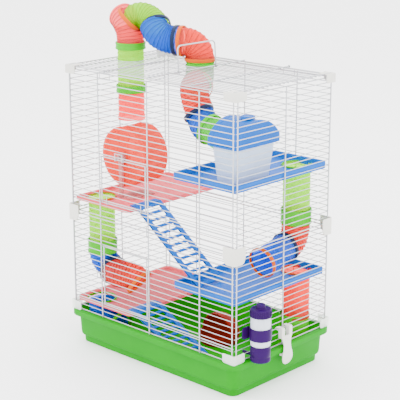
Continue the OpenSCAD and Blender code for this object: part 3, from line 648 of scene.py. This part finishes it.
# ---------------------------------------------------------------- bottle and dish
def build_bottle():
    lo, hi = box_mm("bottle_body")
    cx, cy = (lo[0] + hi[0]) / 2, (lo[1] + hi[1]) / 2
    at = Matrix.Translation(Vector((cx, cy, 0)))
    r, z0, z1 = (hi[0] - lo[0]) / 2, lo[2], hi[2]
    Piece("bottle_shell", "bottle_body", "bottle_clear").add(lathe([
        (0.01, z0), (r - 1.5, z0), (r - 0.3, z0 + 1), (r, z0 + 3), (r, z1 - 14), (r - 1.2, z1 - 11),
        (r - 1.2, z1 - 1), (r - 1.8, z1),
        (0.01, z1), (0.01, z1 - 2.4), (r - 3, z1 - 2.4), (r - 2.8, z1 - 11), (r - 1.7, z1 - 14),
        (r - 1.7, z0 + 3), (r - 2.8, z0 + 2), (0.01, z0 + 2),
    ], at), BOTTLE).build()

    lo, hi = box_mm("bottle_cap")
    r, z0, z1 = (hi[0] - lo[0]) / 2, lo[2], hi[2]
    piece = Piece("bottle_lid", "bottle_cap", "bottle_purple")
    piece.add(lathe([
        (19.7, z0), (r - 0.6, z0), (r - 0.2, z0 + 0.8), (r - 0.5, z0 + 2.2), (r - 1, z0 + 2.6),
        (r - 1, z0 + 13.4), (r - 2, z0 + 15.2), (r - 4, z0 + 16),
        (9.6, z0 + 16), (9, z0 + 16.6), (8.6, z1 - 1.4), (7.4, z1 - 0.1), (0.01, z1 - 0.1), (0.01, z0 + 9),
        (19.7, z0 + 9),
    ], at), PURPLE)
    for k in range(30):
        a = math.radians(12 * k)
        out = Vector((math.cos(a), math.sin(a), 0))
        p = Vector((cx, cy, z0 + 3)) + out * (r - 0.9)
        piece.add(slab_between(p, p + Vector((0, 0, 10.4)), 1.5, 1.6, out, 0.35), PURPLE)
    piece.build()

    lo, hi = box_mm("bottle_base")
    z0, z1 = lo[2], hi[2]
    r = 19.5
    piece = Piece("bottle_bottom", "bottle_base", "bottle_purple")
    piece.add(lathe([
        (0.01, z0), (r - 2.4, z0), (r - 0.6, z0 + 1), (r, z0 + 3), (r, z0 + 8), (r - 0.7, z0 + 9),
        (r - 0.7, z0 + 11), (r, z0 + 12), (r, z1 - 6),
        (r - 0.7, z1 - 5), (r - 0.7, z1 - 0.6), (r - 1.2, z1), (r - 2.4, z1), (r - 2.6, z0 + 3),
        (0.01, z0 + 3),
    ], at), PURPLE)
    for k in range(26):
        a = math.radians(360 / 26 * k)
        out = Vector((math.cos(a), math.sin(a), 0))
        p = Vector((cx, cy, z0 + 13)) + out * (r - 0.8)
        piece.add(slab_between(p, p + Vector((0, 0, 12)), 1.6, 1.4, out, 0.35), PURPLE)
    spout = aim((cx - r + 1.2, cy, 81.2), (-1, 0, 0))
    size = cx - r + 1.2 - lo[0]
    piece.add(lathe([
        (2.3, 0), (3.6, 0), (3.6, 3), (3.2, 4), (3.2, size - 4), (3.0, size - 2), (2.4, size - 0.3),
        (1.9, size - 0.3), (1.9, size - 3), (2.3, size - 5),
    ], spout, seg=28), PURPLE)
    piece.build()

    lo, hi = box_mm("bottle_holder")
    z0, z1 = lo[2], hi[2]
    piece = Piece("bottle_bracket", "bottle_holder", "bottle_purple")
    piece.add(lathe([
        (19.75, z0 + 0.4), (20.2, z0), (20.9, z0), (21.4, z0 + 0.6), (21.4, z1 - 0.6), (20.9, z1),
        (20.2, z1), (19.75, z1 - 0.4),
    ], at), PURPLE)
    y0, y1 = lo[1], hi[1]
    for ya, yb in ((y0, cy - 8.5), (cy + 8.5, y1)):
        mid, wide = (ya + yb) / 2, yb - ya
        ring = corner_loop(wide, z1 - z0, 5, 0, seg=5)
        piece.add(loft([[(x, mid + a * s, (z0 + z1) / 2 + b * s) for a, b, _ in ring] for x, s in (
            (lo[0], 0.97), (lo[0] + 0.5, 1.0), (lo[0] + 1.8, 1.0), (lo[0] + 2.3, 0.97))]), PURPLE)
    piece.build()


def build_dish():
    lo, hi = box_mm("food_dish")
    cx, cy = (lo[0] + hi[0]) / 2, (lo[1] + hi[1]) / 2
    z0, z1, r = lo[2], hi[2], (hi[0] - lo[0]) / 2
    at = Matrix.Translation(Vector((cx, cy, 0)))
    Piece("dish_bowl", "food_dish", "dish_ruby").add(lathe([
        (0.01, z0), (r - 8, z0), (r - 5, z0 + 0.6), (r - 3.2, z0 + 3), (r - 2.2, z1 - 5),
        (r - 1.8, z1 - 3.4), (r - 0.5, z1 - 3), (r, z1 - 2.2),
        (r, z1 - 0.8), (r - 0.8, z1), (r - 3.6, z1), (r - 4.2, z1 - 1), (r - 5, z0 + 6), (r - 9, z0 + 3),
        (0.01, z0 + 2.6),
    ], at, closed=True), RUBY).build()
    lo, hi = box_mm("dish_hood")
    r, z0 = (hi[0] - lo[0]) / 2, lo[2]
    rise = hi[2] - z0
    outer = [(r * math.cos(a), z0 + rise * math.sin(a)) for a in np.linspace(0, math.radians(89.9), 15)]
    inner = [((r - 2) * math.cos(a), z0 + (rise - 2) * math.sin(a)) for a in np.linspace(math.radians(89.9),
        0, 15)]
    front = cutter("hood_cutter", loft([
        [(cx - 60, cy - 60, z), (cx + 60, cy - 60, z), (cx + 60, cy - 8, z),
        (cx - 60, cy - 8, z)] for z in (z0 - 5, z0 + 60)
    ]))
    Piece("dish_dome", "dish_hood", "dish_ruby").add(lathe(outer + inner, at), RUBY).build(cutters=(front,),
        angle=35)
    drop(front)


# ---------------------------------------------------------------- tubes
TUBE_R, TUBE_WALL = 27.5, 1.5
RING_IN, RING_OUT = 29.0, 31.3


def tube_profile(size, r, thick, collar=6.0, ribs=True):
    """Straight tube with a bead at each end and shallow ribs between."""
    out = [(r + 0.6, 0.0), (r + 1.1, 0.5), (r + 1.1, collar - 0.6), (r + 0.2, collar)]
    steps = max(2, int((size - 2 * collar) / 1.5))
    for k in range(steps + 1):
        s = collar + 0.8 + (size - 2 * collar - 1.6) * k / steps
        wave = 0.35 * math.cos(2 * math.pi * s / 9.0) if ribs else 0.0
        out.append((r - 0.35 + wave, s))
    out += [(r + 0.2, size - collar), (r + 1.1, size - collar + 0.6), (r + 1.1, size - 0.5), (r + 0.6, size)]
    out += [(r - thick + 0.1, size), (r - thick - 0.3, size - 1), (r - thick - 0.3, 1), (r - thick + 0.1, 0)]
    return out


def ring_profile(size, r_in, r_out):
    h = size / 2
    out = [(r_in, -h + 0.3), (r_out - 1, -h), (r_out - 0.2, -h + 0.5), (r_out, -h + 1.2)]
    if size > 10:
        out += [(r_out, -h + 3.4), (r_out - 0.8, -h + 4.2), (r_out - 0.8, h - 4.2), (r_out, h - 3.4)]
    out += [(r_out, h - 1.2), (r_out - 0.2, h - 0.5), (r_out - 1, h), (r_in, h - 0.3)]
    return out


def flange_profile(h):
    return [(28.9, 0), (31.0, 0), (31.3, 0.5), (31.2, h - 1.4), (30.6, h - 0.4), (29.8, h), (28.9, h - 0.4)]


def caps_of(node, right=1000.0):
    """The two flat ring ends of a CAD elbow (centre, outward direction), from its own faces left of x = right."""
    mesh = NODES[node].data
    groups = {}
    for poly in mesh.polygons:
        if poly.center.x * 1000 > right:
            continue
        n = poly.normal
        key = (round(n.x, 2), round(n.y, 2), round(n.z, 2), round(n.dot(poly.center), 4))
        groups.setdefault(key, []).append(poly)
    sized = sorted(groups.values(), key=lambda g: -sum(p.area for p in g))[:2]
    ends = []
    for group in sized:
        area = sum(p.area for p in group)
        centre = sum((p.center * p.area for p in group), Vector()) / area
        normal = sum((p.normal * p.area for p in group), Vector()).normalized()
        ends.append((centre * 1000, normal))
    return ends


def bellows(node, straight=4.0, right=1000.0):
    """Ribbed elbow along the same curve as the CAD one; straight is the length of its upper straight end."""
    (p, na), (q, nb) = sorted(caps_of(node, right), key=lambda end: -end[0].z)
    a, b = -na, nb
    r, lead = TUBE_R + 1, 5.5
    p1, q1 = p + a * straight, q - b * 4
    pull = (q1 - p1).length * 1.2
    line, head = [], []
    for k in range(161):
        t = k / 160
        line.append((2 * t**3 - 3 * t**2 + 1) * p1 + (t**3 - 2 * t**2 + t) * pull * a
                    + (3 * t**2 - 2 * t**3) * q1 + (t**3 - t**2) * pull * b)
        head.append(((6 * t * t - 6 * t) * p1 + (3 * t * t - 4 * t + 1) * pull * a
                     + (6 * t - 6 * t * t) * q1 + (3 * t * t - 2 * t) * pull * b).normalized())
    line = [p] + line + [q]
    head = [a] + head + [b]
    run = [0.0]
    for u, v in zip(line, line[1:]):
        run.append(run[-1] + (v - u).length)
    total = run[-1]
    across = a.cross(b).normalized()
    count = max(4, round((total - 2 * lead) / 5.6))
    stations = [0.0, 0.6, lead - 1.0]
    stations += list(np.linspace(lead, total - lead, count * 8 + 1))
    stations += [total - lead + 1.0, total - 0.6, total]

    def place(s):
        k = min(max(int(np.searchsorted(run, s)), 1), len(run) - 1)
        f = (s - run[k - 1]) / (run[k] - run[k - 1])
        return line[k - 1].lerp(line[k], f), head[k - 1].lerp(head[k], f).normalized()

    def radius(s):
        if s <= lead or s >= total - lead:
            return r - (0.5 if s in (0.0, total) else 0.0)
        wave = 0.5 + 0.5 * math.cos(2 * math.pi * count * (s - lead) / (total - 2 * lead))
        return r - 1.1 * (1 - wave)

    loops = []
    for s in stations:
        c, t = place(s)
        u = (across - t * across.dot(t)).normalized()
        v = t.cross(u)
        loops.append((c, u, v, radius(s)))
    rings = []
    for c, u, v, rad in loops:
        rings.append([c + (u * math.cos(g) + v * math.sin(g)) * rad for g in np.linspace(0, 2 * math.pi,
            45)[:-1]])
    for c, u, v, rad in reversed(loops):
        rings.append([c + (u * math.cos(g) + v * math.sin(g)) * (rad - 1.1) for g in np.linspace(0,
            2 * math.pi, 45)[:-1]])
    bands = []
    for k in range(count + 1):
        c, t = place(lead + (total - 2 * lead) * k / count)
        u = (across - t * across.dot(t)).normalized()
        v = t.cross(u)
        bands.append(loft([
            [c + t * h + (u * math.cos(g) + v * math.sin(g)) * rad for g in np.linspace(0, 2 * math.pi,
            45)[:-1]]
            for h, rad in ((-0.6, r - 1), (-0.35, r + 0.15), (0.35, r + 0.15), (0.6, r - 1))
        ], wrap=True))
    return loft(rings, wrap=True), bands


def add_bellows(piece, mat, **shape):
    body, bands = bellows(piece.node, **shape)
    piece.add(body, mat)
    for band in bands:
        piece.add(band, RIBS[mat])


def islands(node):
    """Vertex positions of each separate solid of a CAD node."""
    mesh = NODES[node].data
    co = np.array([v.co for v in mesh.vertices]) * 1000
    key = {}
    same = [key.setdefault(tuple(np.round(c, 3)), len(key)) for c in co]
    parent = list(range(len(key)))

    def find(i):
        while parent[i] != i:
            parent[i] = parent[parent[i]]
            i = parent[i]
        return i

    for e in mesh.edges:
        a, b = find(same[e.vertices[0]]), find(same[e.vertices[1]])
        if a != b:
            parent[a] = b
    groups = {}
    for pos, i in key.items():
        groups.setdefault(find(i), []).append(pos)
    return [np.array(g) for g in groups.values()]


def axis_of(points):
    """Centre, axis direction and length of a tube-shaped or ring-shaped set of points, even an open one."""
    c = points.mean(0)
    _, vectors = np.linalg.eigh(np.cov((points - c).T))
    best = None
    for k in range(3):
        d, u, v = vectors[:, k], vectors[:, (k + 1) % 3], vectors[:, (k + 2) % 3]
        along, x, y = (points - c) @ d, (points - c) @ u, (points - c) @ v
        fit = np.linalg.lstsq(np.column_stack([2 * x, 2 * y, np.ones(len(x))]), x * x + y * y, rcond=None)[0]
        radial = np.hypot(x - fit[0], y - fit[1])
        spread = float(np.std(radial[radial > radial.mean()]))
        if best is None or spread < best[0]:
            best = (spread, d, along, c + u * fit[0] + v * fit[1])
    _, d, along, middle = best
    mid = (along.max() + along.min()) / 2
    return Vector(middle + d * mid), Vector(d), float(along.max() - along.min())


def holes():
    """Centres (x, y) of the four shelf holes, from the tubes that pass through them."""
    found = []
    for node in ("right_upper_tube", "front_left_tube"):
        lo, hi = box_mm(node)
        found.append(((lo[0] + hi[0]) / 2, (lo[1] + hi[1]) / 2))
    straight = max(islands("coral_tubes"), key=lambda p: p[:, 0].mean())
    lo, hi = straight.min(0), straight.max(0)
    found.append(((lo[0] + hi[0]) / 2, (lo[1] + hi[1]) / 2))
    entry = max(caps_of("coral_tubes", 0), key=lambda end: end[0].z)[0]
    found.append((entry.x, entry.y))
    return found


def build_rings(name, node, slot, mat):
    piece = Piece(name, node, slot)
    for pts in islands(node):
        size = float(np.ptp(pts[:, 2]))
        near = min(holes(), key=lambda h: math.dist(h, pts[:, :2].mean(0)))
        base = Vector((*near, pts[:, 2].min()))
        if size < 5:
            piece.add(lathe(flange_profile(size), aim(base, (0, 0, 1)), seg=64), mat)
            continue
        if size > 75:
            centre, d = base + Vector((0, 0, size / 2)), (0, 0, 1)
        else:
            centre, d, size = axis_of(pts)
        piece.add(lathe(ring_profile(size, RING_IN, RING_OUT), aim(centre, d), seg=64), mat)
    return piece


def build_straight(name, node, slot, colors):
    piece = Piece(name, node, slot)
    parts = sorted(islands(node), key=lambda p: p[:, 2].mean())
    for pts, mat in zip(parts, colors):
        centre, d, size = axis_of(pts)
        piece.add(lathe(tube_profile(size, TUBE_R, TUBE_WALL), aim(centre - d * size / 2, d), seg=64), mat)
    return piece


def build_tubes():
    build_straight("left_top_tubes", "left_top_tube", "tube_lime", (ROSE, LIME)).build(angle=50)
    build_straight("right_upper_pipe", "right_upper_tube", "tube_lime", (LIME,)).build(angle=50)
    build_straight("front_left_pipe", "front_left_tube", "tube_lime", (LIME,)).build(angle=50)
    build_straight("right_blue_pipe", "right_blue_tube", "tube_blue", (SKY,)).build(angle=50)
    for name, node, slot, mat in (
        ("elbow_top_pink", "top_pink_elbow", "tube_pink", ROSE),
        ("elbow_top_lime", "top_lime_elbow", "tube_lime", LIME),
        ("elbow_top_blue", "top_blue_elbow", "tube_blue", SKY),
        ("elbow_top_coral", "top_coral_elbow", "tube_coral", CORAL),
        ("elbow_mid_green", "mid_green_elbow", "tube_green", MINT),
        ("elbow_mid_coral", "mid_coral_elbow", "tube_coral", CORAL),
        ("elbow_mid_blue", "mid_blue_elbow", "tube_blue", SKY),
        ("elbow_right_coral", "right_coral_elbow", "tube_coral", CORAL),
        ("elbow_left_blue", "left_blue_elbow", "tube_blue", SKY),
        ("elbow_left_pink", "left_pink_elbow", "tube_pink", CORAL),
    ):
        piece = Piece(name, node, slot)
        add_bellows(piece, mat, straight=14.0 if node == "mid_green_elbow" else 4.0)
        piece.build(angle=60)
    build_rings("rings_orange", "connectors_orange", "ring_orange", RING_ORANGE).build(angle=40)
    build_rings("rings_navy", "connectors_navy", "ring_navy", RING_NAVY).build(angle=40)
    doorway = cutter("doorway_cutter", lathe([(0.01, 0), (20, 0), (20, 60), (0.01, 60)],
        aim((*holes()[2], 30), (-1, 0, 0)), closed=False))
    build_rings("rings_green", "connectors_green", "ring_green", RING_GREEN).build(cutters=(doorway,),
        angle=40)
    drop(doorway)

    _, hi = box_mm("house_tube")
    start, end = Vector((71, -40, 485)), Vector((121.2, -44.8, 470.2))
    d = (end - start).normalized()
    size = (end - start).length * 1.25
    keep = cutter("plane_cutter", loft([
        [(hi[0], -120, z), (hi[0] + 60, -120, z), (hi[0] + 60, 40, z), (hi[0], 40, z)] for z in (380, 560)]))
    Piece("house_pipe", "house_tube", "tube_green").add(
        lathe(tube_profile(size, TUBE_R, TUBE_WALL), aim(start, d), seg=64), MINT).build(cutters=(keep,), angle=50)
    drop(keep)

    drop_pts = sorted(islands("coral_tubes"), key=lambda p: p[:, 0].mean())
    piece = Piece("lower_pipes", "coral_tubes", "tube_coral")
    centre, d, size = axis_of(drop_pts[-1])
    piece.add(lathe(tube_profile(size, TUBE_R, TUBE_WALL), aim(centre - Vector((0, 0, size / 2)), (0, 0, 1)),
        seg=64), CORAL)
    add_bellows(piece, SKY, right=0)
    piece.build(angle=55)


build_tray()
build_clips()
build_side_latch("latch_right", "right_side_latch", 1)
build_side_latch("latch_left", "left_side_latch", -1)
blue_high, pink_high, blue_low, pink_low = holes()
build_shelf("shelf_pink_upper", "upper_pink_shelf", "shelf_pink", PINK, PINK_EDGE, pink_high, 28.8)
build_shelf("shelf_pink_lower", "lower_pink_shelf", "shelf_pink", PINK, PINK_EDGE, pink_low, 28.8)
build_shelf("shelf_blue_upper", "upper_blue_shelf", "shelf_blue", BLUE, BLUE_EDGE, blue_high, 28.8)
build_shelf("shelf_blue_lower", "lower_blue_shelf", "shelf_blue", BLUE, BLUE_EDGE, blue_low, 28.8)
build_ladder("ladder_upper_body", "upper_ladder")
build_ladder("ladder_lower_body", "lower_ladder")
build_wheel()
build_house()
build_bottle()
build_dish()
build_tubes()


# ---------------------------------------------------------------- floor, light, camera
def build_stage():
    mat, nodes, links = shader("floor_paper")
    skin, _ = detail(nodes, links, (1.6, 1.6, 1.6), 2.0, 0.005, 0.02)
    skin.inputs["Roughness"].default_value = 0.85
    out = nodes.new("ShaderNodeOutputMaterial")
    links.new(skin.outputs["BSDF"], out.inputs["Surface"])
    mesh = bpy.data.meshes.new("floor")
    mesh.from_pydata([(-30, -30, -0.0005), (30, -30, -0.0005), (30, 30, -0.0005), (-30, 30, -0.0005)], [],
        [(0, 1, 2, 3)])
    mesh.materials.append(mat)
    floor = bpy.data.objects.new("floor", mesh)
    bpy.context.scene.collection.objects.link(floor)

    world = bpy.data.worlds.new("studio")
    world.use_nodes = True
    world.node_tree.nodes["Background"].inputs["Color"].default_value = (1, 1, 1, 1)
    world.node_tree.nodes["Background"].inputs["Strength"].default_value = 4.6
    bpy.context.scene.world = world
    for name, place, size, power in (
        ("key", (-1.4, -2.6, 2.6), 2.0, 70), ("fill", (2.8, -0.6, 1.8), 2.0, 40),
        ("top", (0.2, 0.4, 3.2), 2.4, 60)):
        lamp = bpy.data.lights.new(name, "AREA")
        lamp.size = size
        lamp.energy = power
        obj = bpy.data.objects.new(name, lamp)
        obj.location = place
        obj.rotation_euler = (Vector((0, 0, 0.3)) - Vector(place)).to_track_quat("-Z", "Y").to_euler()
        bpy.context.scene.collection.objects.link(obj)

    view = bpy.data.cameras.new("photo_camera")
    view.lens = 112.72
    view.sensor_width = 36
    view.clip_end = 100
    eye = bpy.data.objects.new("photo_camera", view)
    eye.location = (1.67058, -1.76329, 1.00651)
    eye.rotation_euler = (math.pi / 2 - 0.2745, 0.001, 0.7563)
    bpy.context.scene.collection.objects.link(eye)
    bpy.context.scene.camera = eye


build_stage()
bpy.context.view_layer.update()
